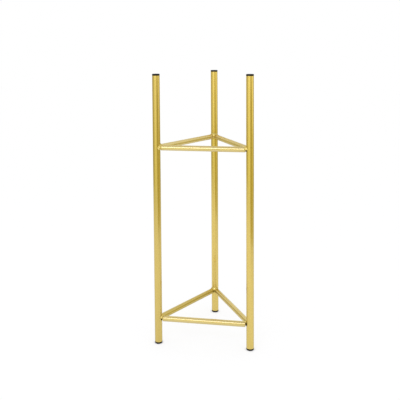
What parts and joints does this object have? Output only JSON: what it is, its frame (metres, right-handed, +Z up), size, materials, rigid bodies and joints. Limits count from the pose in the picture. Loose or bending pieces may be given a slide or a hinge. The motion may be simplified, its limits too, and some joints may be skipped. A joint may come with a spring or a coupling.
{
  "type": "plant stand",
  "caption": "Tall open plant stand of round gold tube: upright posts joined by triangular tiers of level rungs, with black plugs in the post ends.",
  "frame": {"origin": "on the floor, midway between the left and right posts and midway between the front and back of the stand", "axes": "+Z up along the posts, +X from the left post to the right post, +Y from the front rungs towards the back post"},
  "size_m": [0.294, 0.2576, 0.8],
  "materials": {
    "frame": "satin gold lacquer on steel tube",
    "weld": "satin gold lacquer over weld metal",
    "plug": "moulded black plastic, matt"
  },
  "bodies": {
    "root": {"left_post": "frame", "right_post": "frame", "back_post": "frame", "lower_front_rung": "frame", "lower_left_rung": "frame", "lower_right_rung": "frame", "upper_front_rung": "frame", "upper_left_rung": "frame", "upper_right_rung": "frame", "lower_left_weld": "weld", "lower_right_weld": "weld", "lower_back_weld": "weld", "upper_left_weld": "weld", "upper_right_weld": "weld", "upper_back_weld": "weld", "left_foot_plug": "plug", "right_foot_plug": "plug", "back_foot_plug": "plug", "left_top_plug": "plug", "right_top_plug": "plug", "back_top_plug": "plug"}
  },
  "joints": []
}
